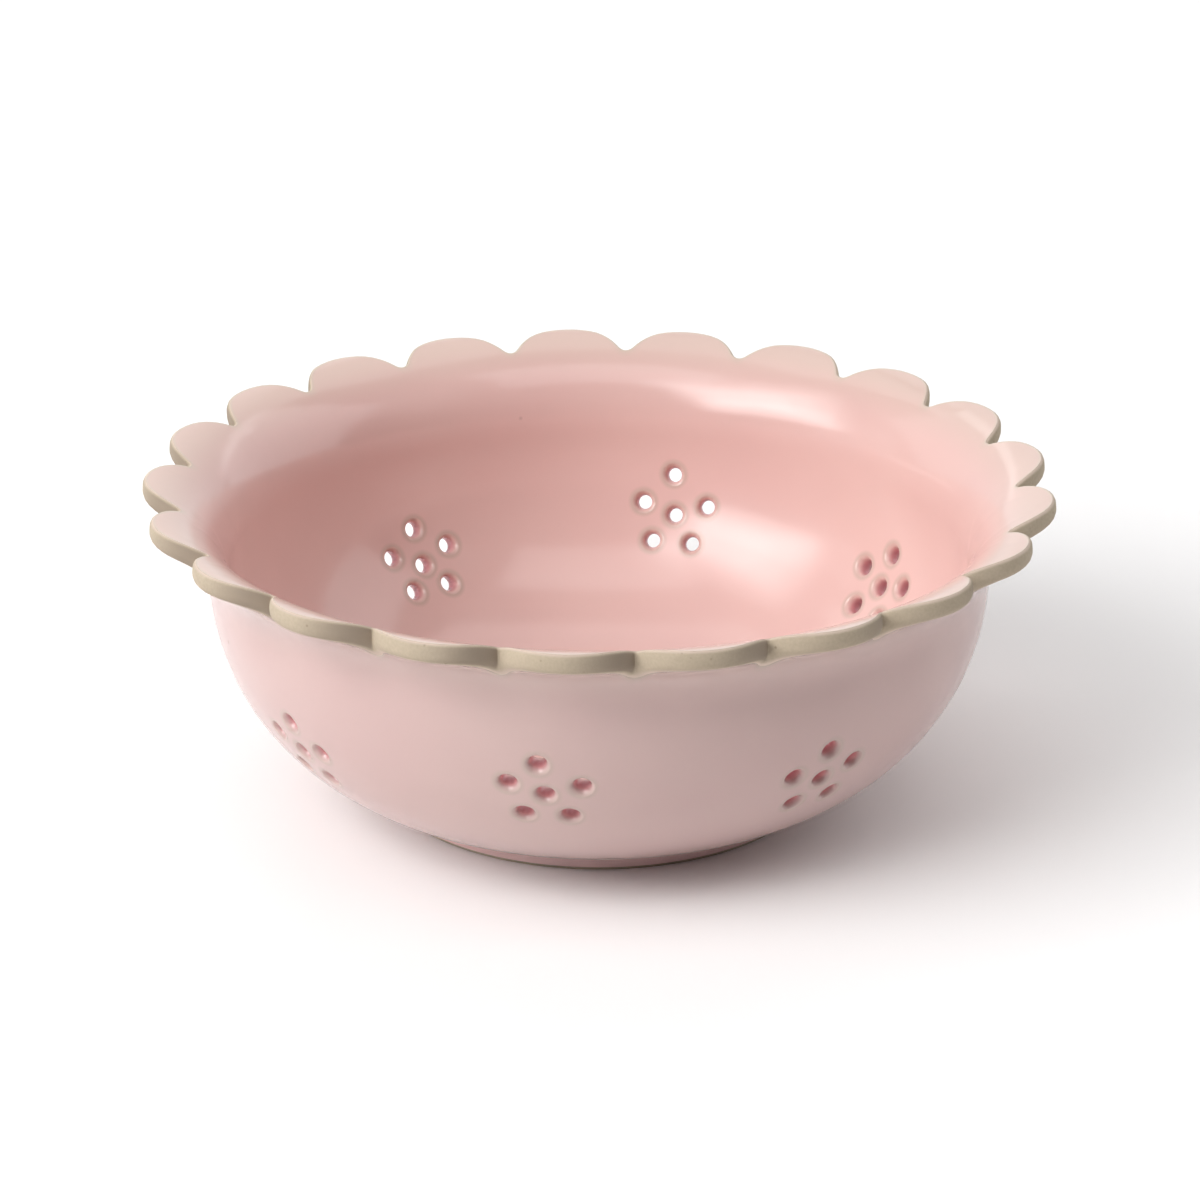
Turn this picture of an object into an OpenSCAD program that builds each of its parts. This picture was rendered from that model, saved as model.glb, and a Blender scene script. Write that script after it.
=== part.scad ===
// Berry colander bowl of glazed stoneware, in millimetres, +Z up.
// The origin is the centre of the foot ring's standing face.

/* [Rim] */
// Diameter over the tips of the scallops
rim_d = 193; // [180:1:206]
// How far the scallops' tips stand out past the belly
rim_reach = 13.5; // [11:0.1:14.5]
// Number of scallops cut round the rim
scallops = 21; // [16:1:26]
// Depth of the notch between two scallops
notch_depth = 7.4; // [5:0.1:9]
// Radius of the flare's upper surface
flare_r = 19.2; // [18:0.1:22]
// Direction of the first notch, from +X towards +Y
first_notch_angle = 86; // [0:0.5:360]

/* [Belly] */
// Radius of the belly's outer curve
belly_r = 48.8; // [44:0.2:54]

/* [Walls] */
// Wall at the waist and the rim, with its glaze
wall_t = 4.4; // [3.5:0.1:6]
// Floor from its underside to its upper face, with its glaze
floor_t = 4.2; // [3.5:0.1:7]
// Thickness of a glaze coat
glaze_t = 0.35; // [0.2:0.05:0.6]

/* [Foot] */
// Outside diameter of the foot, with its glaze
foot_d = 94.4; // [88:0.2:104]
// Height of the foot
foot_h = 3.4; // [2:0.1:6]
// Width of the foot's clay ring
foot_w = 6; // [4:0.5:10]
// Height of the bare clay left below the foot's glaze
bare_h = 0.7; // [0.4:0.1:1.5]

/* [Holes] */
// Open diameter of a hole, inside its glaze
hole_d = 3; // [2:0.1:4.5]
// Number of petal holes round the middle hole of a flower
petals = 5; // [4:1:6]
// Diameter of the circle through the petal holes' centres
petal_ring_d = 15.6; // [13:0.2:19]
// Height of the flowers' middle holes on the outside of the wall
flower_h = 29; // [25:0.5:33]
// Furthest that a hand-punched flower strays above or below that height
flower_stray = 5.2; // [0:0.1:6]

/* [Hidden] */
$fn = 200;

// Each flower is punched by eye: its direction from +X towards +Y, and its share of the stray in height.
flower_angles = [-141.5, -97.7, -54.8, -12, 30.8, 76.5, 124.2, 171];
flower_stray_shares = [-0.27, 0.59, -0.06, 0, -0.45, 0.29, -1, -0.3];
// How far every cut runs past the wall that it cuts
overrun = 2;

// Clay and glaze as the fired bowl shows them
clay_tan = "#b9ab8d";
glaze_rose = "#dfa8a4";
glaze_pink = "#e6c3c0";
glaze_foot = "#c99a9b";

// The belly is upright at the waist, its widest place, where the flare takes over.
belly_d = rim_d - 2 * rim_reach;

// The belly's outer curve swings about a ring at the waist's height and runs down to the foot.
foot_r = foot_d / 2;
belly_centre_r = belly_d / 2 - belly_r;
waist_h = foot_h + sqrt(pow(belly_r, 2) - pow(foot_r - belly_centre_r, 2));

// The hollow's curve leaves the floor level and meets the flare upright at the waist.
hollow_r = waist_h - foot_h - floor_t;
hollow_centre_r = belly_d / 2 - wall_t - hollow_r;
flare_centre_r = belly_d / 2 - wall_t + flare_r;

// Two neighbouring scallops are circles that cross at the notch.
notch_r = rim_d / 2 - notch_depth;
half_pitch = 180 / scallops;
scallop_sagitta = rim_d / 2 - notch_r * cos(half_pitch);
scallop_r = (pow(notch_r * sin(half_pitch), 2) + pow(scallop_sagitta, 2)) / (2 * scallop_sagitta);
scallop_centre_r = rim_d / 2 - scallop_r;

drilled_d = hole_d + 2 * glaze_t;
flower_names = [for (i = [0 : len(flower_angles) - 1]) str("flower_glaze_", i + 1)];

// Half section, from the axis out to a quarter circle, hung from the waist where it ends upright
module quarter_section(centre_r, r) {
    translate([0, waist_h])
        rotate(-90)
            square([r, centre_r]);
    translate([centre_r, waist_h])
        intersection() {
            circle(r);
            rotate(-90)
                square(r);
        }
}

// The same, run up past the waist to cut with
module quarter_cutter(centre_r, r) {
    quarter_section(centre_r, r);
    translate([0, waist_h])
        square([centre_r + r, overrun]);
}

// Half section of a layer of the flare, between two depths below its upper surface
module flare_section(upper, lower) {
    intersection() {
        translate([flare_centre_r, waist_h])
            difference() {
                circle(flare_r - upper);
                circle(flare_r - lower);
            }
        translate([flare_centre_r - flare_r, waist_h])
            square(flare_r);
    }
}

// Half section of all that lies above the foot
module above_foot() {
    translate([0, foot_h])
        square([rim_d, waist_h]);
}

// Plan of the rim: a ring of overlapping circles and the disc that fills it
module scallop_plan() {
    circle(scallop_centre_r);
    for (i = [0 : scallops - 1])
        rotate(first_notch_angle + (2 * i + 1) * half_pitch)
            translate([scallop_centre_r, 0])
                circle(scallop_r);
}

// Turns a half section and trims it to the scallops
module turned_and_scalloped() {
    intersection() {
        rotate_extrude()
            children();
        linear_extrude(waist_h + flare_r + overrun)
            scallop_plan();
    }
}

// The clay before its holes are punched
module clay_form() {
    turned_and_scalloped() {
        intersection() {
            difference() {
                quarter_section(belly_centre_r, belly_r - glaze_t);
                quarter_cutter(hollow_centre_r, hollow_r + glaze_t);
            }
            above_foot();
        }
        flare_section(glaze_t, wall_t - glaze_t);
    }
}

// One hole in the middle and a ring of petals, along +Z, with the first petal towards -X
module flower_places() {
    children();
    for (k = [0 : petals - 1])
        rotate(180 + k * 360 / petals)
            translate([petal_ring_d / 2, 0, 0])
                children();
}

// Rods along the holes of a wall flower, square to the wall at its middle hole
module flower_rods(i, d) {
    drop = asin((waist_h - flower_h - flower_stray * flower_stray_shares[i]) / belly_r);
    rotate(flower_angles[i])
        translate([belly_centre_r, 0, waist_h])
            rotate([0, 90 + drop, 0])
                translate([0, 0, belly_r - 2 * wall_t - overrun])
                    flower_places()
                        cylinder(h = 2 * (wall_t + overrun), d = d);
}

// Rods along the drain holes of the floor
module drain_rods(d) {
    flower_places()
        cylinder(h = foot_h + floor_t + overrun, d = d);
}

module all_rods(d) {
    for (i = [0 : len(flower_angles) - 1])
        flower_rods(i, d);
    drain_rods(d);
}

// Clay bowl: floor, belly and flared rim, with its cut edge left bare
module stoneware_body() {
    color(clay_tan)
        difference() {
            clay_form();
            all_rods(drilled_d);
        }
}

// Clay ring joined under the floor, with a bare standing face
module foot_ring() {
    color(clay_tan)
        linear_extrude(foot_h)
            difference() {
                circle(foot_r - glaze_t);
                circle(foot_r - glaze_t - foot_w);
            }
}

// Coat over the floor, the hollow and the upper side of the flare
module inside_glaze() {
    color(glaze_rose)
        difference() {
            turned_and_scalloped() {
                difference() {
                    quarter_section(hollow_centre_r, hollow_r + glaze_t);
                    quarter_cutter(hollow_centre_r, hollow_r);
                }
                flare_section(0, glaze_t);
            }
            all_rods(hole_d);
        }
}

// Coat over the belly and the lower side of the flare
module outside_glaze() {
    color(glaze_pink)
        difference() {
            turned_and_scalloped() {
                intersection() {
                    difference() {
                        quarter_section(belly_centre_r, belly_r);
                        quarter_cutter(belly_centre_r, belly_r - glaze_t);
                    }
                    above_foot();
                }
                flare_section(wall_t - glaze_t, wall_t);
            }
            all_rods(hole_d);
        }
}

// Coat on the outside of the foot, wiped off above the standing face
module foot_glaze() {
    color(glaze_foot)
        translate([0, 0, bare_h])
            linear_extrude(foot_h - bare_h)
                difference() {
                    circle(foot_r);
                    circle(foot_r - glaze_t);
                }
}

// Coat under the floor, inside the foot ring
module base_glaze() {
    color(glaze_pink)
        difference() {
            translate([0, 0, foot_h - glaze_t])
                linear_extrude(glaze_t)
                    circle(foot_r - glaze_t - foot_w);
            drain_rods(hole_d);
        }
}

// Coat inside the drain holes
module drain_glaze() {
    color(glaze_rose)
        intersection() {
            clay_form();
            difference() {
                drain_rods(drilled_d);
                drain_rods(hole_d);
            }
        }
}

// Coat inside the six holes of one wall flower
module flower_glaze(i) {
    color(glaze_rose)
        intersection() {
            clay_form();
            difference() {
                flower_rods(i, drilled_d);
                flower_rods(i, hole_d);
            }
        }
}

stoneware_body();
foot_ring();
inside_glaze();
outside_glaze();
foot_glaze();
base_glaze();
drain_glaze();
for (i = [0 : len(flower_angles) - 1])
    flower_glaze(i);
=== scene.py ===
import bmesh
import bpy
import numpy as np
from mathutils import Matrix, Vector
from mathutils.geometry import delaunay_2d_cdt


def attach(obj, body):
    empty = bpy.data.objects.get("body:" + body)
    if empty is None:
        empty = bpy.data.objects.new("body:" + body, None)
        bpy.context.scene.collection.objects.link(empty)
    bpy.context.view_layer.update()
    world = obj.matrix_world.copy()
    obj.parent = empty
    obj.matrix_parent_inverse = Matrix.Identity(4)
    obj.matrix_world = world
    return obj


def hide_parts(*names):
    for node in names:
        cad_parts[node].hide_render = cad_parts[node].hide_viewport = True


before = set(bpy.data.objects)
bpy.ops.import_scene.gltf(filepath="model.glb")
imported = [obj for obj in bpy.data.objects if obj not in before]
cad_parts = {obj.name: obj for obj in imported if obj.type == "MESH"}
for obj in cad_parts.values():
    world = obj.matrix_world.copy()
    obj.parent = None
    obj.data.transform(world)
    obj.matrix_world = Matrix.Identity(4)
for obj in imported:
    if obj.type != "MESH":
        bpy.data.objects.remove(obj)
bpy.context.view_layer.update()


# Clay bowl: floor, belly and flared rim, thrown in stoneware and cut into scallops while leather-hard.
# The cut edge is sponged round and left bare. All the rest of the clay lies under the glaze coats, and
# the holes are punched through it by eye, eight flowers round the wall and one drain flower in the floor.

# Lengths are in millimetres and become metres when a piece is made. The section is an arc each for the belly,
# the hollow and the flare, and their centres lie at the height of the waist.
TIP_R, NOTCH_R, SCALLOPS, FIRST_NOTCH = 96.5, 89.1, 21, np.radians(86)
FLARE_R, BELLY_WAIST_R, BELLY_R, WALL, GLAZE = 19.2, 83.0, 48.8, 4.4, 0.35
FOOT_R, FOOT_H, FLOOR = 47.2, 3.4, 4.2
BELLY_C = BELLY_WAIST_R - BELLY_R
WAIST = FOOT_H + np.sqrt(BELLY_R**2 - (FOOT_R - BELLY_C) ** 2)
HOLLOW_R = WAIST - FOOT_H - FLOOR
HOLLOW_C = BELLY_WAIST_R - WALL - HOLLOW_R
FLARE_C = BELLY_WAIST_R - WALL + FLARE_R
# The rim's edge is round over these widths above and below. A notch keeps a small radius at its deepest, and
# the sponge rounded the notches more and more towards the back.
EDGE_UP, EDGE_DOWN, EDGE_POWER, EDGE_ROWS = 0.9, 1.8, 2.3, 17
NOTCH_TURNS = FIRST_NOTCH + 2 * np.pi / SCALLOPS * np.arange(SCALLOPS)
NOTCH_FILLETS = 0.35 + 1.65 * (0.5 + 0.5 * np.sin(NOTCH_TURNS)) ** 2
# A rounder notch is pressed in by this share of its radius over this half width, so that it stays as deep.
NOTCH_PRESS, NOTCH_REACH = 0.68, np.radians(5)
# Shares of the way along a scallop's arc, from -1 to 1, and round the notch after it, from 0 to 1
LOBE_SWEEP = np.sin(np.linspace(-np.pi / 2, np.pi / 2, 23))
NOTCH_SWEEP = np.linspace(0, 1, 9)[1:-1]
# Distances between the points of a coat's face, of what lies under it, and of the glaze under the floor. Near
# the rim the rows follow the scallops, at these distances from the border.
FACE_STEP, BACK_STEP, BASE_STEP = 2.0, 3.2, 2.5
BORDER_ROWS = 3, 1.7, 0.8, 0.3, 0
# A hole narrows like an hourglass from its two mouths to a throat. The wall's coats reach into it as far as
# the lining, which has the clay's own hole round it.
MOUTH_R, THROAT_R, THROAT_DEPTH = 2.75, 1.56, 2.15
LINING_DEPTH, CLAY_HOLE_R, CLAY_MOUTH_R = 1.1, 1.9, MOUTH_R + 0.1
# Rings about a mouth: how far they lie from it, and how thin the glaze is on them; the grey this gives is
# partly glaze broken over the edge and partly painted shade where the wall curves into the hole
MOUTH_POINTS = 32
MOUTH_THIN_AND_SHADE = 0.45
MOUTH_RINGS = (0, MOUTH_THIN_AND_SHADE), (0.25, 0.36), (0.6, 0.18), (1.0, 0)
# Rows give way to the rings this far past a mouth, as far as this along the hole on either side
MOUTH_CLEAR, SAME_WALL = 2.2, 15
# Rounds in which a ring slides on to its surface
SLIDES = 12
PETALS, PETAL_RING_R = 5, 7.8
HOLES = PETALS + 1
FLOWER_H, FLOWER_STRAY = 29, 5.2
FLOWER_TURNS = np.radians([-141.5, -97.7, -54.8, -12, 30.8, 76.5, 124.2, 171])
FLOWER_HEIGHTS = FLOWER_H + FLOWER_STRAY * np.array([-0.27, 0.59, -0.06, 0, -0.45, 0.29, -1, -0.3])
FLOWERS = len(FLOWER_TURNS)
# How much less steeply than square to the wall each flower was punched
FLOWER_TILTS = np.radians([0, 0, 0, 0, 0, 0, 10, 0])
# How far single holes strayed from the flower's pattern, along the wall and up it: three that the photo shows
HOLE_STRAYS = np.zeros((FLOWERS, HOLES, 2))
HOLE_STRAYS[1, 1] = -1.2, 0
HOLE_STRAYS[5, 1] = 0.9, 1.4
HOLE_STRAYS[6, 0] = 0, -0.85


def scallop_outline(inset):
    """Plan of the rim, set in by a distance, as complex x + iy: one arc per scallop about the scallop's own
    centre, and round each notch an arc about the notch's point, whose radius grows with the inset. Near a
    notch all is pressed in by a squared cosine of the angle from it."""
    half = np.pi / SCALLOPS
    sagitta = TIP_R - NOTCH_R * np.cos(half)
    lobe_r = ((NOTCH_R * np.sin(half)) ** 2 + sagitta**2) / (2 * sagitta)
    centre = TIP_R - lobe_r
    fillets = np.roll(NOTCH_FILLETS, -1)[:, None]
    notch_r = centre * np.cos(half) + np.sqrt((lobe_r + fillets) ** 2 - (centre * np.sin(half)) ** 2)
    notches = notch_r * np.exp(1j * half)
    ends = np.angle(notches - centre)
    sides = np.where(LOBE_SWEEP < 0, np.roll(ends, 1, 0), ends)
    lobes = centre + (lobe_r - inset) * np.exp(1j * LOBE_SWEEP * sides)
    turns = np.pi + ends + 2 * (half - ends) * NOTCH_SWEEP
    ones = np.concatenate([lobes, notches + (inset + fillets) * np.exp(1j * turns)], 1)
    away = np.clip((half - np.abs(np.angle(ones))) / NOTCH_REACH, -1, 1)
    nearest = np.where(np.angle(ones) < 0, NOTCH_FILLETS[:, None], fillets)
    ones = ones - NOTCH_PRESS * nearest * np.cos(away * np.pi / 2) ** 2 * ones / np.abs(ones)
    return (np.exp(1j * (NOTCH_TURNS + half))[:, None] * ones).ravel()


def upper_flare(r, depth):
    """Height of the flare's upper side at a radius: a circle about the flare's centre, less the depth."""
    return WAIST + np.sqrt(np.maximum((FLARE_R - depth) ** 2 - (FLARE_C - r) ** 2, 0))


def lower_flare(r, depth):
    """Height of the flare's lower side at a radius: the smaller circle about that centre, plus the depth."""
    return WAIST + np.sqrt(np.maximum((FLARE_R - WALL + depth) ** 2 - (FLARE_C - r) ** 2, 0))


def at(plan, z):
    """Points with a complex plan and a height."""
    return np.stack([plan.real, plan.imag, z + 0 * plan.real], -1)


def circle(n, k):
    """Complex directions of the n points of row k: even steps, shifted by half a step in every other row."""
    return np.exp(2j * np.pi * (np.arange(n) + k % 2 / 2) / n)


def flare_rows(radius, flat_radius, start, step, border):
    """Rows of one side of the flare, on a circle about the flare's centre: first even shares of the angle
    climbed from the waist to the first row that follows the scallops, then the rows that follow them."""
    def row(plan):
        climb = np.arccos(np.clip((FLARE_C - np.abs(plan)) / radius, 0, 1))
        flat_map = (start + flat_radius * climb) * np.exp(1j * np.angle(plan))
        return plan, WAIST + radius * np.sin(climb), flat_map

    last = scallop_outline(border + BORDER_ROWS[0])
    full = np.arccos((FLARE_C - np.abs(last)) / radius)
    count = int(flat_radius * full.max() / step) + 1
    n = int(2 * np.pi * BELLY_WAIST_R / step)
    rows = []
    for k, share in enumerate(np.linspace(0, 1, count + 1)[1:-1]):
        turn = 2 * np.pi * (np.arange(n) + k % 2 / 2) / n
        climb = share * np.interp(turn, np.angle(last), full, period=2 * np.pi)
        rows.append(row((FLARE_C - radius * np.cos(climb)) * np.exp(1j * turn)))
    rows.append(row(last[::2]))
    return rows + [row(scallop_outline(border + inset)) for inset in BORDER_ROWS[1:]]


def inner_rows(depth, step, border):
    """Rows of the inside at a depth below the glaze, each a plan, a height and a flat map: the floor and the
    hollow's arc by their length along the section, then the flare, whose rows grow from the waist's circle
    into the scallops and end at the border's inset."""
    length = HOLLOW_C + HOLLOW_R * np.pi / 2
    rows = [(np.zeros(1, complex), np.full(1, WAIST - HOLLOW_R - depth), np.zeros(1, complex))]
    for k, rho in enumerate(np.linspace(0, length, int(length / step) + 1)[1:]):
        a = max(rho - HOLLOW_C, 0) / HOLLOW_R
        r = min(rho, HOLLOW_C) + (HOLLOW_R + depth) * np.sin(a)
        n = max(8, int(2 * np.pi * r / step))
        u = circle(n, k)
        rows.append((r * u, WAIST - (HOLLOW_R + depth) * np.cos(a) + np.zeros(n), rho * u))
    return rows + flare_rows(FLARE_R - depth, FLARE_R, length, step, border)


def outer_rows(depth, step, border):
    """Rows of the outside at a depth below the glaze, in the same form: the belly's arc from the foot up to
    the waist by its share of the arc, then the flare's lower side."""
    low = np.arccos((WAIST - FOOT_H) / (BELLY_R - depth))
    length = BELLY_R * (np.pi / 2 - low)
    rows = []
    for k, share in enumerate(np.linspace(0, 1, int(length / step) + 1)):
        a = low + share * (np.pi / 2 - low)
        r = BELLY_C + (BELLY_R - depth) * np.sin(a)
        n = int(2 * np.pi * r / step)
        u = circle(n, k)
        z = WAIST - (BELLY_R - depth) * np.cos(a) + np.zeros(n)
        rows.append((r * u, z, (FOOT_R + share * length) * u))
    return rows + flare_rows(FLARE_R - WALL + depth, FLARE_R - WALL, FOOT_R + length, step, border)


def disc_rows(radius, z, step):
    """Rows of a level disc, from its middle to its edge, in the same form."""
    rows = [(np.zeros(1, complex), np.full(1, z), np.zeros(1, complex))]
    for k, r in enumerate(np.linspace(0, radius, int(radius / step) + 1)[1:]):
        n = max(8, int(2 * np.pi * r / step))
        u = circle(n, k)
        rows.append((r * u, np.full(n, z), r * u))
    return rows


def flower_holes(turn, height, tilt, strays):
    """The six holes of one wall flower as points on the outside, with the direction they are punched in and
    two directions across it: one in the middle, and five petals in a ring, the first straight up the wall. A
    tilt turns each hole about its mouth on the inside."""
    drop = np.arcsin((WAIST - height) / BELLY_R)
    out = np.array([np.cos(turn), np.sin(turn), 0])
    side = np.array([-np.sin(turn), np.cos(turn), 0])
    high = np.array([0, 0, 1.0])
    centre = (BELLY_C + BELLY_R * np.cos(drop)) * out + height * high
    wall_up = np.sin(drop) * out + np.cos(drop) * high
    k = 2 * np.pi * np.arange(PETALS)[:, None] / PETALS
    petals = PETAL_RING_R * np.concatenate([np.zeros((1, 3)), np.cos(k) * wall_up + np.sin(k) * side])
    petals += strays[:, :1] * side + strays[:, 1:] * wall_up
    square = np.cos(drop) * out - np.sin(drop) * high
    along = np.cos(drop - tilt) * out - np.sin(drop - tilt) * high
    up = np.sin(drop - tilt) * out + np.cos(drop - tilt) * high
    start = centre + petals + WALL * (along - square)
    return start, np.tile(along, (HOLES, 1)), np.tile(side, (HOLES, 1)), np.tile(up, (HOLES, 1))


def drain_holes():
    """The six holes of the floor, straight down, in the same form."""
    k = np.pi + 2 * np.pi * np.arange(PETALS) / PETALS
    ring = np.concatenate([[0], PETAL_RING_R * np.exp(1j * k)])
    ways = [0.0, 0, -1], [1.0, 0, 0], [0.0, -1, 0]
    return at(ring, FOOT_H), *(np.tile(way, (HOLES, 1)) for way in ways)


def joined(groups):
    """Groups of holes as one group."""
    return tuple(np.concatenate(parts) for parts in zip(*groups))


wall_holes = joined([flower_holes(*values)
                     for values in zip(FLOWER_TURNS, FLOWER_HEIGHTS, FLOWER_TILTS, HOLE_STRAYS)])
floor_holes = drain_holes()
inner_holes = joined([wall_holes, floor_holes])


def past_inside(p, depth):
    """Distance of points outwards past the inside surface, at a depth below the glaze."""
    r = np.hypot(p[..., 0], p[..., 1])
    arc = np.hypot(r - HOLLOW_C, p[..., 2] - WAIST)
    return np.where(r < HOLLOW_C, WAIST - p[..., 2], arc) - HOLLOW_R - depth


def past_outside(p, depth):
    """The same for the belly's outside."""
    return np.hypot(np.hypot(p[..., 0], p[..., 1]) - BELLY_C, p[..., 2] - WAIST) - BELLY_R + depth


def past_base(p, depth):
    """The same for the glazed underside of the floor."""
    return FOOT_H - GLAZE + depth - p[..., 2]


def hole_ring(holes, radius, past, depth, push=0.0):
    """Rings of points round each hole: a circle across the hole slid along it on to a surface, then pushed
    on by a distance, outwards along the hole where that is positive."""
    start, along, side, up = (part[:, None, :] for part in holes)
    phi = 2 * np.pi * np.arange(MOUTH_POINTS)[None, :, None] / MOUTH_POINTS
    p = start + radius * (np.cos(phi) * side + np.sin(phi) * up)
    for _ in range(SLIDES):
        p = p - past(p, depth)[..., None] * along
    return p + push * along


def flat_inside(p):
    """Flat map of points on the inside: their direction, and their length along the section from the axis."""
    plan = p[..., 0] + 1j * p[..., 1]
    r = np.abs(plan)
    rho = np.where(r < HOLLOW_C, r, HOLLOW_C + HOLLOW_R * np.arctan2(r - HOLLOW_C, WAIST - p[..., 2]))
    return rho * np.exp(1j * np.angle(plan))


def flat_outside(p):
    """Flat map of points on the belly: their direction, and their share of the arc from the foot to the
    waist."""
    plan = p[..., 0] + 1j * p[..., 1]
    a = np.arctan2(np.abs(plan) - BELLY_C, WAIST - p[..., 2])
    radius = np.hypot(np.abs(plan) - BELLY_C, p[..., 2] - WAIST)
    low = np.arccos((WAIST - FOOT_H) / radius)
    length = BELLY_R * (np.pi / 2 - np.arccos((WAIST - FOOT_H) / BELLY_R))
    return (FOOT_R + length * (a - low) / (np.pi / 2 - low)) * np.exp(1j * np.angle(plan))


def flat_base(p):
    """Flat map of points under the floor: their plan."""
    return p[..., 0] + 1j * p[..., 1]


def net_between(maps, loops):
    """Triangles of the Delaunay net over a flat map that keeps the loops' edges. A triangle with all its
    corners on one loop lies in a hole or past the border, so it is left out."""
    edges = np.concatenate([np.stack([loop, np.roll(loop, -1)], -1) for loop in loops])
    made = delaunay_2d_cdt(np.stack([maps.real, maps.imag], -1).tolist(), edges.tolist(), [], 0, 1e-6, True)
    triangles, sources = made[2:4]
    triangles = np.array([ids[0] for ids in sources])[np.array(triangles)]
    owner = np.full(len(maps), -1)
    for k, loop in enumerate(loops):
        owner[loop] = k
    a, b, c = owner[triangles].T
    return triangles[~((a >= 0) & (a == b) & (b == c))]


def pierced_net(rows, rims, holes, past, flat, depth, mouth_r):
    """A net over a surface's rows with its holes left open. Rows near a hole give way to rings about it, and
    a Delaunay net in the flat map joins all. Returns points, triangles, the first and last rows' borders
    named in rims, the holes' borders, and for each point how thin the glaze is there."""
    points = np.concatenate([at(plan, z) for plan, z, _ in rows])
    maps = np.concatenate([flat_map for _, _, flat_map in rows])
    row_ends = np.cumsum([len(flat_map) for _, _, flat_map in rows])
    start, along = holes[0][None], holes[1][None]
    away = points[:, None] - start
    depths = (away * along).sum(-1, keepdims=True)
    away = np.linalg.norm(away - depths * along, axis=-1)
    keep = ~((away < mouth_r + MOUTH_CLEAR) & (np.abs(depths[..., 0]) < SAME_WALL)).any(1)
    number = np.cumsum(keep) - 1
    borders = []
    if "first" in rims:
        borders.append(number[:row_ends[0]])
    if "last" in rims:
        borders.append(number[row_ends[-2]:])
    points, maps, thin = [points[keep]], [maps[keep]], [np.zeros(keep.sum())]
    ring_size = len(holes[0]) * MOUTH_POINTS
    mouths = keep.sum() + np.arange(ring_size).reshape(-1, MOUTH_POINTS)
    for spread, ring_thin in MOUTH_RINGS:
        ring = hole_ring(holes, mouth_r + spread, past, depth)
        points.append(ring.reshape(-1, 3))
        maps.append(flat(ring).ravel())
        thin.append(np.full(ring_size, ring_thin))
    net = net_between(np.concatenate(maps), borders + list(mouths))
    return np.concatenate(points), net, borders, mouths, np.concatenate(thin)


class Skin:
    """Points and faces of one closed piece, gathered part by part, with a value per point for its coat: 0
    where it is even, up to 1 where it is thin, and down to -1 where it has pooled; in and round the holes
    these values also carry painted shade. On bare clay it is up to 1 where the glaze hazes it, and down to -1
    where the scallops' ends are darkened by painted shade."""

    def __init__(self):
        self.points, self.faces, self.thin, self.count = [], [], [], 0

    def add(self, points, thin=0.0):
        """Adds an array of points of any shape and returns their numbers in the same shape."""
        n = int(np.prod(points.shape[:-1]))
        self.points.append(points.reshape(-1, 3))
        self.thin.append(np.broadcast_to(np.asarray(thin, float).ravel(), (n,)))
        self.count += n
        return np.arange(self.count - n, self.count).reshape(points.shape[:-1])

    def cover(self, points, triangles, thin=0.0):
        """Adds a net's points and triangles and returns the number of its first point."""
        first = self.add(points, thin)[0]
        self.faces += (first + triangles).tolist()
        return first

    def strip(self, one, two):
        """Joins two closed rows of the same number of points by a band of quads; rows may come in stacks."""
        a, b = np.atleast_2d(one), np.atleast_2d(two)
        quads = np.stack([a, np.roll(a, -1, 1), np.roll(b, -1, 1), b], -1).reshape(-1, 4)
        self.faces += quads.tolist()

    def tube(self, rows):
        """Joins rows one after the other, and the last to the first."""
        for one, two in zip(rows, np.roll(rows, -1, 0)):
            self.strip(one, two)

    def piece(self, name, material):
        """Makes the mesh in metres, turns its faces outwards, shades it smooth and rides it on the body."""
        mesh = bpy.data.meshes.new(name)
        mesh.from_pydata((np.concatenate(self.points) * 0.001).tolist(), [], self.faces)
        attribute = mesh.attributes.new("thin", "FLOAT", "POINT")
        attribute.data.foreach_set("value", np.concatenate(self.thin).astype(np.float32))
        shape = bmesh.new()
        shape.from_mesh(mesh)
        bmesh.ops.recalc_face_normals(shape, faces=shape.faces)
        shape.to_mesh(mesh)
        shape.free()
        mesh.shade_smooth()
        mesh.set_sharp_from_angle(angle=np.radians(55))
        mesh.materials.append(material)
        thing = bpy.data.objects.new(name, mesh)
        bpy.context.scene.collection.objects.link(thing)
        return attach(thing, "root")


def linear(code):
    """A colour from its sRGB hex code, turned to linear light."""
    c = np.array([int(code[i:i + 2], 16) for i in (1, 3, 5)]) / 255
    return (*np.where(c <= 0.04045, c / 12.92, ((c + 0.055) / 1.055) ** 2.4), 1.0)


def add_node(tree, kind, settings=None, inputs=None):
    """Adds a node, sets its own settings, and gives each input a value or a link from an output."""
    made = tree.nodes.new(kind)
    for key, value in (settings or {}).items():
        setattr(made, key, value)
    for key, value in (inputs or {}).items():
        if isinstance(value, bpy.types.NodeSocket):
            tree.links.new(value, made.inputs[key])
        else:
            made.inputs[key].default_value = value
    return made


# Bare buff stoneware, fired and sponged: dry and matt, with a sandy grain of about half a millimetre and
# scattered dark iron specks, which show as pepper on the cut edge. It is hazed by the glaze's borders, and
# the end of each scallop, which turns away from the light, is darkened by painted shade.
stoneware = bpy.data.materials.new("bare_buff_stoneware")
stoneware.use_nodes = True
tree = stoneware.node_tree
tree.nodes.clear()
place = add_node(tree, "ShaderNodeTexCoord").outputs["Object"]
cloud = add_node(tree, "ShaderNodeTexNoise", inputs={"Vector": place, "Scale": 1 / 0.011, "Detail": 4.0})
grain = add_node(tree, "ShaderNodeTexNoise", inputs={"Vector": place, "Scale": 1 / 0.0006, "Detail": 3.0})
tone = add_node(tree, "ShaderNodeMix", {"data_type": "RGBA"},
                {"Factor": cloud.outputs["Fac"], "A": linear("#b9aa96"), "B": linear("#ad9e88")})
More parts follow.
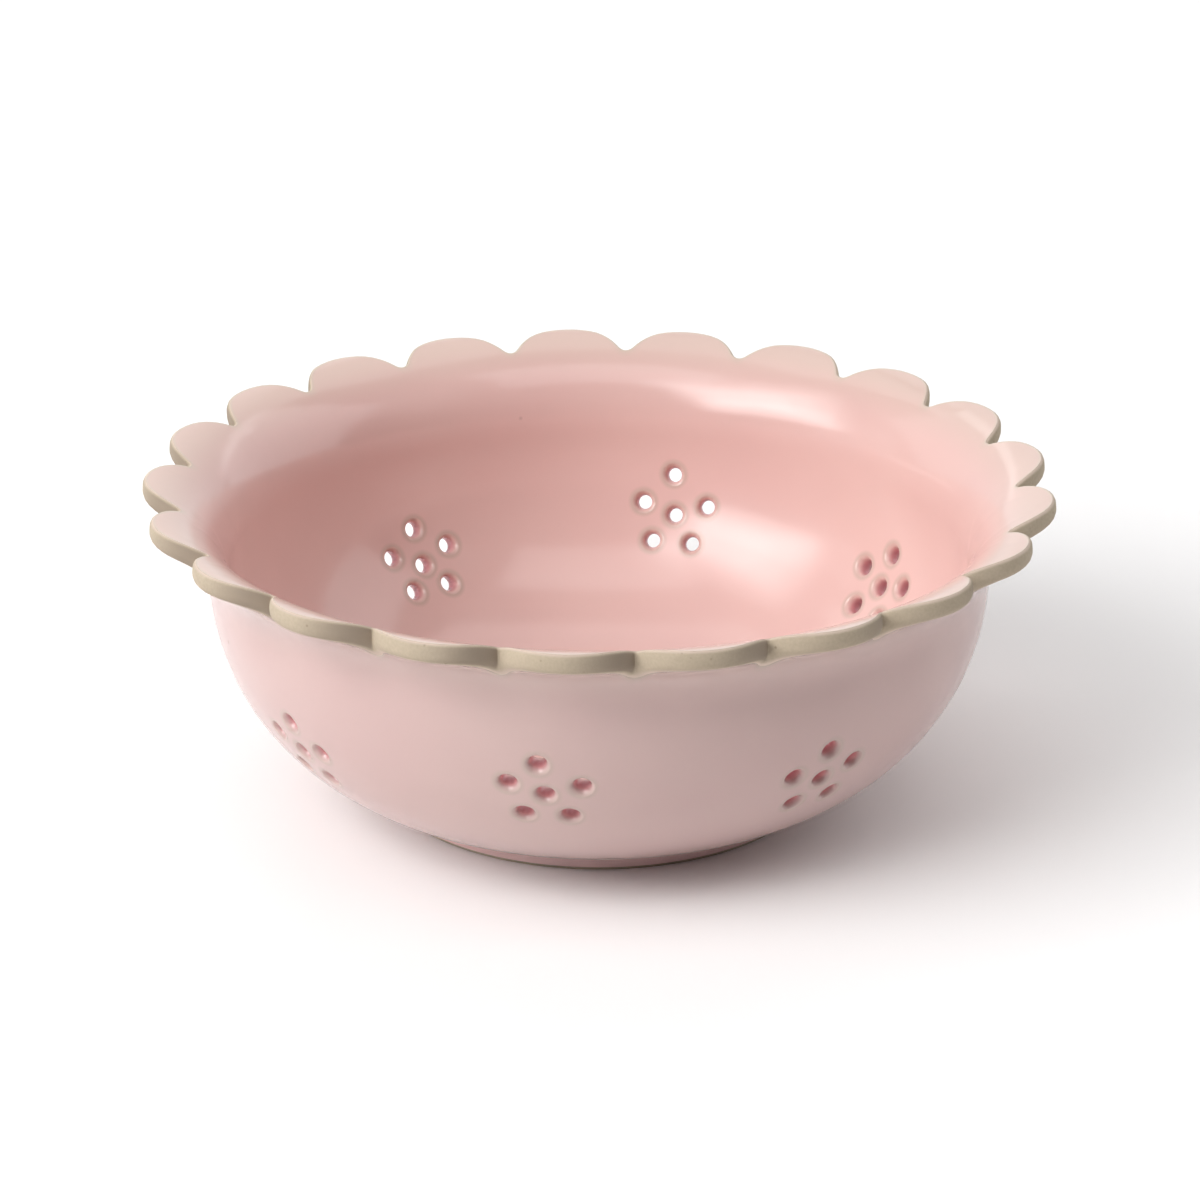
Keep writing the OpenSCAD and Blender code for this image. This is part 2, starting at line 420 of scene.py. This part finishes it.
sand = add_node(tree, "ShaderNodeMapRange",
                inputs={"Value": grain.outputs["Fac"], "From Min": 0.3, "From Max": 0.7,
                        "To Min": 0.94, "To Max": 1.05})
sanded = add_node(tree, "ShaderNodeVectorMath", {"operation": "SCALE"},
                  {0: tone.outputs["Result"], "Scale": sand.outputs["Result"]})
cells = add_node(tree, "ShaderNodeTexVoronoi", inputs={"Vector": place, "Scale": 1 / 0.0035})
speck = add_node(tree, "ShaderNodeMapRange",
                 inputs={"Value": cells.outputs["Distance"], "From Min": 0.04, "From Max": 0.1,
                         "To Min": 0.5, "To Max": 0.0})
peppered = add_node(tree, "ShaderNodeMix", {"data_type": "RGBA"},
                    {"Factor": speck.outputs["Result"], "A": sanded.outputs["Vector"],
                     "B": linear("#6b5a45")})
haze_and_painted_shade = add_node(tree, "ShaderNodeAttribute", {"attribute_name": "thin"}).outputs["Fac"]
hazed = add_node(tree, "ShaderNodeMix", {"data_type": "RGBA"},
                 {"Factor": haze_and_painted_shade, "A": peppered.outputs["Result"], "B": linear("#d3bfb2")})
# Painted shade: the clay's colour goes darker towards this brown where the scallops' ends turn from the
# light.
painted_shade_share = add_node(tree, "ShaderNodeMapRange", inputs={"Value": haze_and_painted_shade, "From Min": 0.0, "From Max": -1.0})
painted_shade_clay = add_node(tree, "ShaderNodeMix", {"data_type": "RGBA"},
                   {"Factor": painted_shade_share.outputs["Result"], "A": hazed.outputs["Result"], "B": linear("#958676")})
relief = add_node(tree, "ShaderNodeBump",
                  inputs={"Height": grain.outputs["Fac"], "Strength": 0.35, "Distance": 0.0001})
skin = add_node(tree, "ShaderNodeBsdfPrincipled",
                inputs={"Base Color": painted_shade_clay.outputs["Result"], "Roughness": 0.85, "IOR": 1.45,
                        "Normal": relief.outputs["Normal"]})
add_node(tree, "ShaderNodeOutputMaterial", inputs={"Surface": skin.outputs["BSDF"]})

# The coats' backs stop short of their edges, and their edges stand this little above the clay.
BACK_INSET, EDGE_STEP = 0.6, 0.05
clay = Skin()
points, net, (inner_rim,), inner_mouths, _ = pierced_net(
    inner_rows(GLAZE, BACK_STEP, EDGE_UP + BACK_INSET), ["last"],
    inner_holes, past_inside, flat_inside, GLAZE, CLAY_MOUTH_R)
first = clay.cover(points, net)
inner_rim, inner_mouths = first + inner_rim, first + inner_mouths
points, net, (outer_foot, outer_rim), outer_mouths, _ = pierced_net(
    outer_rows(GLAZE, BACK_STEP, EDGE_DOWN + BACK_INSET), ["first", "last"],
    wall_holes, past_outside, flat_outside, GLAZE, CLAY_MOUTH_R)
first = clay.cover(points, net)
foot_edge = points[outer_foot]
outer_foot, outer_rim, outer_mouths = first + outer_foot, first + outer_rim, first + outer_mouths

# Along each scallop the painted shade grows from its middle to its end, where the scallop faces away from the
# light, and is gone again across the notch. The haze lies on the outer tenth of the edge's height above and
# below.
PAINTED_SHADE_START, PAINTED_SHADE_LENGTH = -0.1, 0.9
grown = np.clip((LOBE_SWEEP - PAINTED_SHADE_START) / PAINTED_SHADE_LENGTH, 0, 1)
gone = np.clip(1 - 2 * NOTCH_SWEEP, 0, 1)
painted_shading = np.tile(np.concatenate([grown**2 * (3 - 2 * grown), gone]), SCALLOPS)
rows = [outer_rim]
for share in np.linspace(0, 1, EDGE_ROWS):
    width = EDGE_UP if share > 0.5 else EDGE_DOWN
    plan = scallop_outline(width * (1 - (1 - abs(2 * share - 1) ** EDGE_POWER) ** (1 / EDGE_POWER)))
    low, high = lower_flare(np.abs(plan), EDGE_STEP), upper_flare(np.abs(plan), EDGE_STEP)
    edge_haze = np.clip(10 * abs(share - 0.5) - 4, 0, 1)
    # Negative values here paint shade on the scallops' ends.
    rows.append(clay.add(at(plan, (1 - share) * low + share * high), edge_haze - (1 - edge_haze) * painted_shading))
rows.append(inner_rim)
for one, two in zip(rows, rows[1:]):
    clay.strip(one, two)

in_ends = clay.add(hole_ring(inner_holes, CLAY_HOLE_R, past_inside, 0, LINING_DEPTH))
clay.strip(inner_mouths, in_ends)
out_ends = clay.add(hole_ring(wall_holes, CLAY_HOLE_R, past_outside, 0, -LINING_DEPTH))
clay.strip(outer_mouths, out_ends)
clay.strip(in_ends[:FLOWERS * HOLES], out_ends)

# The disc under the floor takes the belly's lowest row as its edge.
base_r = np.abs(flat_base(foot_edge[0]))
under = disc_rows(base_r - BACK_STEP, FOOT_H, BACK_STEP)
under.append((flat_base(foot_edge), foot_edge[:, 2], flat_base(foot_edge)))
points, net, (base_rim,), base_mouths, _ = pierced_net(
    under, ["last"], floor_holes, past_base, flat_base, GLAZE, CLAY_MOUTH_R)
first = clay.add(points)[0]
numbers = np.arange(clay.count)
numbers[first + base_rim] = outer_foot
clay.faces += numbers[first + net].tolist()
base_ends = clay.add(hole_ring(floor_holes, CLAY_HOLE_R, past_base, 0, -LINING_DEPTH))
clay.strip(first + base_mouths, base_ends)
clay.strip(in_ends[FLOWERS * HOLES:], base_ends)
bowl = clay.piece("bare_clay_bowl", stoneware)
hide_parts("stoneware_body")


# Foot ring: a coil of the same clay joined under the floor and turned true on the wheel.
# Its corners are softened by the sponge, and it stands on its bare lower face.

FOOT_W = 6.0
FOOT_CORNERS = 0.3, 0.15, 0.15, 0.9
foot_clay_r = FOOT_R - GLAZE


def turned(profile, columns=240):
    """A closed profile of radius and height carried round the axis. Returns points as rows of columns."""
    u = circle(columns, 0)
    return np.stack([at(r * u, z) for r, z in profile])


def rounded(corners, radii, steps=5):
    """A polygon's corners rounded off: each by an arc that touches both its sides, one radius per corner."""
    c = np.array(corners, float)
    out = []
    for k, radius in enumerate(radii):
        a, b = c[k - 1] - c[k], c[(k + 1) % len(c)] - c[k]
        a, b = a / np.linalg.norm(a), b / np.linalg.norm(b)
        half = np.arccos(np.clip(a @ b, -1, 1)) / 2
        middle = c[k] + (a + b) / np.linalg.norm(a + b) * radius / np.sin(half)
        p, q = c[k] + a * radius / np.tan(half), c[k] + b * radius / np.tan(half)
        t = np.linspace(0, 1, steps)[:, None]
        arc = (1 - t) * (p - middle) + t * (q - middle)
        out.append(middle + arc / np.linalg.norm(arc, axis=1, keepdims=True) * radius)
    return np.concatenate(out)


def box_section(inner_r, outer_r, low, high):
    """Corners of a ring's section, from its outer lower one up and round."""
    return [(outer_r, low), (outer_r, high), (inner_r, high), (inner_r, low)]


ring = Skin()
foot_section = box_section(foot_clay_r - FOOT_W, foot_clay_r, 0, FOOT_H)
ring.tube(ring.add(turned(rounded(foot_section, FOOT_CORNERS))))
foot = ring.piece("bare_foot_ring", stoneware)
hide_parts("foot_ring")


# Inside glaze: a glossy rose coat over the floor, the hollow and the upper side of the flare.
# It was poured in and swirled, breaks pale at the mouths of the holes, and ends in a fine bead
# where it was wiped off the rim's edge. Round the holes its colour is greyed and deepened partly by painted
# shade, and on the flare paled partly by painted sheen.

LINING_TURN = np.arccos(1 - LINING_DEPTH / THROAT_DEPTH)
# The deep rose from this share of a mouth's turn on is partly pooled glaze and partly painted shade.
MOUTH_ROWS, POOL_AND_SHADE_START = 7, 0.4
# How thin the coat is on the flare, whose paler colour is partly painted sheen of the light on its upturned
# face, within this distance past the waist, and on its last rows at the rim
FLARE_PALE_AND_SHEEN, FLARE_FADE = 0.45, 7
RIM_THIN = 0.9, 0.65, 0.45
# The bead's rows: how far they stand out past the coat's edge, and how deep they lie
BEAD = (0.05, 0.01), (0.09, 0.04), (0.08, 0.1)


def glaze(name, body, deep, pale_and_sheen, grey_with_painted_shade):
    """A glossy coat fused to the clay in the kiln: clear and hard like glass, with soft clouds some 45 mm
    wide where it lies thicker, paler on the flare where it is thin and as painted sheen, greyer at the mouths
    of the holes where it broke and as painted shade, deep rose where it pooled and as painted shade of the
    holes' depths, a few iron specks that came through from the clay, and a slow orange peel of about 9 mm
    that softens what it mirrors."""
    coat = bpy.data.materials.new(name)
    coat.use_nodes = True
    tree = coat.node_tree
    tree.nodes.clear()
    place = add_node(tree, "ShaderNodeTexCoord").outputs["Object"]
    cloud = add_node(tree, "ShaderNodeTexNoise", inputs={"Vector": place, "Scale": 1 / 0.045, "Detail": 2.0})
    depth = add_node(tree, "ShaderNodeMapRange",
                     inputs={"Value": cloud.outputs["Fac"], "From Min": 0.3, "From Max": 0.7})
    tone = add_node(tree, "ShaderNodeMix", {"data_type": "RGBA"},
                    {"Factor": depth.outputs["Result"], "A": linear(body), "B": linear(deep)})
    thin = add_node(tree, "ShaderNodeAttribute", {"attribute_name": "thin"}).outputs["Fac"]
    height = add_node(tree, "ShaderNodeSeparateXYZ", inputs={"Vector": place}).outputs["Z"]
    flared = add_node(tree, "ShaderNodeMath", {"operation": "GREATER_THAN"}, {0: height, 1: 0.001 * WAIST})
    # Above the waist the paler colour is partly thin glaze and partly painted sheen; below it the grey round
    # the holes' mouths is partly broken glaze and partly painted shade.
    thinned = add_node(tree, "ShaderNodeMix", {"data_type": "RGBA"},
                       {"Factor": flared.outputs["Value"], "A": linear(grey_with_painted_shade), "B": linear(pale_and_sheen)})
    broken = add_node(tree, "ShaderNodeMix", {"data_type": "RGBA"},
                      {"Factor": thin, "A": tone.outputs["Result"], "B": thinned.outputs["Result"]})
    # Painted shade: the deep rose in the holes stands partly for the dim light in their depths and partly for
    # pooled glaze.
    pool_and_shade = add_node(tree, "ShaderNodeMapRange", inputs={"Value": thin, "From Min": 0.0, "From Max": -1.0})
    pooled_and_shaded = add_node(tree, "ShaderNodeMix", {"data_type": "RGBA"},
                      {"Factor": pool_and_shade.outputs["Result"], "A": broken.outputs["Result"],
                       "B": linear("#d28a91")})
    cells = add_node(tree, "ShaderNodeTexVoronoi", inputs={"Vector": place, "Scale": 1 / 0.02})
    dot = add_node(tree, "ShaderNodeMapRange",
                   inputs={"Value": cells.outputs["Distance"], "From Min": 0.012, "From Max": 0.03,
                           "To Min": 0.3, "To Max": 0.0})
    specked = add_node(tree, "ShaderNodeMix", {"data_type": "RGBA"},
                       {"Factor": dot.outputs["Result"], "A": pooled_and_shaded.outputs["Result"],
                        "B": linear("#8d6a60")})
    peel = add_node(tree, "ShaderNodeTexNoise", inputs={"Vector": place, "Scale": 1 / 0.009, "Detail": 1.0})
    relief = add_node(tree, "ShaderNodeBump",
                      inputs={"Height": peel.outputs["Fac"], "Strength": 0.25, "Distance": 0.0001})
    gloss = add_node(tree, "ShaderNodeMapRange",
                     inputs={"Value": cloud.outputs["Fac"], "From Min": 0.3, "From Max": 0.7,
                             "To Min": 0.12, "To Max": 0.17})
    skin = add_node(tree, "ShaderNodeBsdfPrincipled",
                    inputs={"Base Color": specked.outputs["Result"], "Roughness": gloss.outputs["Result"],
                            "IOR": 1.52, "Normal": relief.outputs["Normal"]})
    add_node(tree, "ShaderNodeOutputMaterial", inputs={"Surface": skin.outputs["BSDF"]})
    return coat


def narrowing(turn):
    """Radius of a hole and its depth below the glaze: a quarter ellipse from the mouth, at turn 0, to the
    throat."""
    return MOUTH_R - (MOUTH_R - THROAT_R) * np.sin(turn), THROAT_DEPTH * (1 - np.cos(turn))


def gathering_and_shade(turn):
    """The coat's value in a hole: thin over the first half of the turn, and pooling from two fifths on. The
    grey of the first part and the deep rose of the second are each partly the glaze and partly painted shade.
    """
    share = turn / (np.pi / 2)
    return MOUTH_THIN_AND_SHADE * np.clip(1 - 2 * share, 0, 1) - np.clip((share - POOL_AND_SHADE_START) / (1 - POOL_AND_SHADE_START), 0, 1)


def add_mouths(coat, ring, holes, past, push):
    """Carries a coat from its holes' borders into the holes as far as the lining, then back to the clay."""
    for turn in np.linspace(0, LINING_TURN, MOUTH_ROWS)[1:]:
        radius, depth = narrowing(turn)
        after = coat.add(hole_ring(holes, radius, past, 0, push * depth), gathering_and_shade(turn))
        coat.strip(ring, after)
        ring = after
    after = coat.add(hole_ring(holes, CLAY_HOLE_R, past, 0, push * LINING_DEPTH))
    coat.strip(ring, after)
    return after


def coat_skin(rows_of, rims, holes, past, flat, push, flare, edge):
    """The closed skin of a coat: its face, the rounded mouths of its holes, its back against the clay,
    and the bead along the rim. Returns the skin, and the borders of its face and of its back."""
    coat = Skin()
    face, net, borders, mouths, thin = pierced_net(
        rows_of(0, FACE_STEP, edge), rims, holes, past, flat, 0, MOUTH_R)
    climb = np.hypot(face[:, 0], face[:, 1]) - BELLY_WAIST_R
    thin = np.where(face[:, 2] > WAIST, FLARE_PALE_AND_SHEEN * np.clip(climb / FLARE_FADE, 0, 1), thin)
    columns = len(borders[-1])
    for k, share in enumerate(RIM_THIN):
        thin[borders[-1] - k * columns] = share
    first = coat.cover(face, net, thin)
    face_borders = [first + border for border in borders]
    ring = add_mouths(coat, first + mouths, holes, past, push)
    back, net, borders, mouths, _ = pierced_net(
        rows_of(GLAZE, BACK_STEP, edge + BACK_INSET), rims, holes, past, flat, GLAZE, CLAY_MOUTH_R)
    first = coat.cover(back, net)
    back_borders = [first + border for border in borders]
    coat.strip(ring, first + mouths)
    rim = face_borders[-1]
    for past_edge, depth in BEAD:
        plan = scallop_outline(edge - past_edge)
        after = coat.add(at(plan, flare(np.abs(plan), depth)), 1)
        coat.strip(rim, after)
        rim = after
    coat.strip(rim, back_borders[-1])
    return coat, face_borders, back_borders


rose = glaze("glossy_rose_glaze", "#dfbbb4", "#dab4ae", "#cdbcac", "#ab9c8b")
inside, _, _ = coat_skin(inner_rows, ["last"], inner_holes, past_inside, flat_inside, 1, upper_flare, EDGE_UP)
inner_coat = inside.piece("rose_glaze_inside", rose)
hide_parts("inside_glaze")


# Outside glaze: the same coat, dipped, over the belly and the lower side of the flare.
# It is darker than the inside as painted shade, since the same coat gets less light out here, and greyer;
# it meets the glaze of the foot below.

# Painted shade: these colours are darker than the inside coat's, though it is the same glaze.
pink = glaze("glossy_pink_glaze", "#ccb0ab", "#c8aaa6", "#b9ab9d", "#b3a596")
outside, (face_foot, _), (back_foot, _) = coat_skin(
    outer_rows, ["first", "last"], wall_holes, past_outside, flat_outside, -1, lower_flare, EDGE_DOWN)
# The two rows at the foot have their own numbers of points, so a level net joins them.
numbers = np.concatenate([face_foot, back_foot])
both = np.arange(len(numbers))
net = net_between(flat_base(np.concatenate(outside.points)[numbers]), np.split(both, [len(face_foot)]))
outside.faces += numbers[net].tolist()
outer_coat = outside.piece("pink_glaze_outside", pink)
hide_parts("outside_glaze")


# Linings of the holes: glaze that ran into each hole and left a bore of three millimetres.
# They carry on from the rounded mouths inside and outside, with no step to see.

LINING_ROWS = 5


def lining(name, holes, past_out):
    """Six closed tubes: from the inside coat in to the throat, out to the outside coat, and back along the
    clay."""
    tubes = Skin()
    turns = np.linspace(LINING_TURN, np.pi / 2, LINING_ROWS)
    # The rows' values paint the deep rose of pooled glaze and of shade in the hole's depth.
    way = [(*narrowing(turn), gathering_and_shade(turn)) for turn in turns]
    rows = [tubes.add(hole_ring(holes, r, past_inside, 0, depth), pool_and_shade) for r, depth, pool_and_shade in way]
    rows += [tubes.add(hole_ring(holes, r, past_out, 0, -depth), pool_and_shade) for r, depth, pool_and_shade in way[::-1]]
    rows.append(tubes.add(hole_ring(holes, CLAY_HOLE_R, past_out, 0, -LINING_DEPTH)))
    rows.append(tubes.add(hole_ring(holes, CLAY_HOLE_R, past_inside, 0, LINING_DEPTH)))
    tubes.tube(rows)
    return tubes.piece(name, rose)


for k in range(FLOWERS):
    holes = tuple(part[HOLES * k:HOLES * (k + 1)] for part in wall_holes)
    tube = lining("rose_lining_%d" % (k + 1), holes, past_outside)
    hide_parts("flower_glaze_%d" % (k + 1))
tube = lining("rose_lining_drain", floor_holes, past_base)
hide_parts("drain_glaze")


# Foot glaze: the coat where it runs down over the outside of the foot, painted a little lighter and rosier
# there as painted light, for the floor's light reaching into the belly's shade.
# It was wiped back from the standing face, and its lower edge is a soft roll.

BARE_H = 0.7
BAND_CORNERS = 0.16, 0.05, 0.05, 0.05
# Painted light: the foot's colours are lighter than the wall's to stand in for light bounced up from the
# floor.
foot_glaze_painted_lighter = glaze("glossy_foot_glaze_painted_light", "#f6d5d2", "#f0ccc9", "#b9ab9d", "#b3a596")
band = Skin()
band_section = box_section(foot_clay_r, FOOT_R, BARE_H, FOOT_H)
band.tube(band.add(turned(rounded(band_section, BAND_CORNERS))))
foot_coat = band.piece("pink_glaze_foot", foot_glaze_painted_lighter)
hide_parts("foot_glaze")


# Base glaze: the coat under the floor, inside the foot ring, with the drain holes' lower mouths.

base = Skin()
disc_r = foot_clay_r - FOOT_W
face, net, (rim,), mouths, thin = pierced_net(
    disc_rows(disc_r, FOOT_H - GLAZE, BASE_STEP), ["last"], floor_holes, past_base, flat_base, 0, MOUTH_R)
first = base.cover(face, net, thin)
face_rim = first + rim
ends = add_mouths(base, first + mouths, floor_holes, past_base, -1)
back, net, (rim,), mouths, _ = pierced_net(
    disc_rows(disc_r, FOOT_H, BASE_STEP), ["last"], floor_holes, past_base, flat_base, GLAZE, CLAY_MOUTH_R)
first = base.cover(back, net)
base.strip(ends, first + mouths)
base.strip(face_rim, first + rim)
base_coat = base.piece("pink_glaze_base", pink)
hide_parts("base_glaze")


# Studio: white table paper, a large softbox high at the front left, pale walls at the left, behind and to the
# right, cards and a ceiling above, and the camera at the photograph's height and distance.

# White table paper: bright and dead matt, so that it takes the bowl's soft shadow and mirrors nothing
paper = bpy.data.materials.new("white_table_paper")
paper.use_nodes = True
sheet_skin = paper.node_tree.nodes["Principled BSDF"]
sheet_skin.inputs["Base Color"].default_value = linear("#faf9f9")
sheet_skin.inputs["Roughness"].default_value = 0.9
sheet_skin.inputs["Specular IOR Level"].default_value = 0.1
sheet = bpy.data.meshes.new("table_paper")
sheet.from_pydata([(-4, -4, 0), (4, -4, 0), (4, 4, 0), (-4, 4, 0)], [], [(0, 1, 2, 3)])
sheet.materials.append(paper)
table = bpy.data.objects.new("table_paper", sheet)
bpy.context.scene.collection.objects.link(table)

# The lights face this point in the middle of the bowl.
AIM = Vector((0, 0, 0.04))


def soft_light(name, turn, rise, away, width, height, brightness):
    """A rectangular light that faces the bowl from a direction in degrees and a distance in metres. Its
    brightness is that of its face, where 1 is as bright as white in the picture."""
    lamp = bpy.data.lights.new(name, "AREA")
    lamp.shape, lamp.size, lamp.size_y = "RECTANGLE", width, height
    lamp.energy = brightness * np.pi * width * height
    turn, rise = np.radians(turn), np.radians(rise)
    way = Vector((np.cos(turn) * np.cos(rise), np.sin(turn) * np.cos(rise), np.sin(rise)))
    thing = bpy.data.objects.new(name, lamp)
    thing.location = away * way + AIM
    thing.rotation_euler = way.to_track_quat("Z", "Y").to_euler()
    bpy.context.scene.collection.objects.link(thing)


# The softbox fades from its middle to its sides and is brighter below than above, so it is five panels, each
# close behind the one before.
soft_light("softbox_middle", -143, 38, 1.54, 0.7, 0.5, 1.9)
soft_light("softbox_near_middle", -146, 38, 1.57, 1.05, 0.75, 1.9)
soft_light("softbox_face", -148, 38, 1.6, 1.35, 1.0, 1.75)
soft_light("softbox_border", -149, 40, 1.63, 1.65, 1.3, 1.45)
soft_light("softbox_lower_half", -149, 27, 1.66, 1.3, 0.58, 1.6)
soft_light("left_wall", -178, 16, 1.6, 1.0, 0.7, 0.5)
soft_light("back_wall_left", 130, 22, 1.8, 1.7, 1.3, 0.85)
soft_light("back_wall_right", 80, 22, 1.8, 1.7, 1.3, 1.1)
soft_light("back_ceiling", 90, 60, 1.7, 1.6, 1.0, 0.95)
soft_light("right_wall", 26, 24, 1.8, 1.9, 1.5, 1.55)
soft_light("right_card", -20, 40, 1.6, 0.8, 0.7, 0.3)
soft_light("front_top_card", -90, 66, 1.6, 1.4, 0.8, 1.6)
soft_light("ceiling", 0, 88, 1.7, 1.6, 1.6, 0.2)

world = bpy.data.worlds.new("studio_air")
world.use_nodes = True
world.node_tree.nodes["Background"].inputs["Color"].default_value = linear("#ffffff")
world.node_tree.nodes["Background"].inputs["Strength"].default_value = 0.02
bpy.context.scene.world = world
bpy.context.scene.view_settings.view_transform = "Standard"

# The lens's focal length in pixels of a picture this wide, and the sensor's width in millimetres
FOCAL_PIXELS, PICTURE_PIXELS, SENSOR = 4362.14, 1200, 36
lens = bpy.data.cameras.new("camera")
lens.sensor_width, lens.lens = SENSOR, FOCAL_PIXELS / PICTURE_PIXELS * SENSOR
camera = bpy.data.objects.new("camera", lens)
camera.location = (0, -0.86197, 0.39905)
camera.rotation_euler = Vector((0.000273, 0.923585, -0.383395)).to_track_quat("-Z", "Y").to_euler()
bpy.context.scene.collection.objects.link(camera)
bpy.context.scene.camera = camera
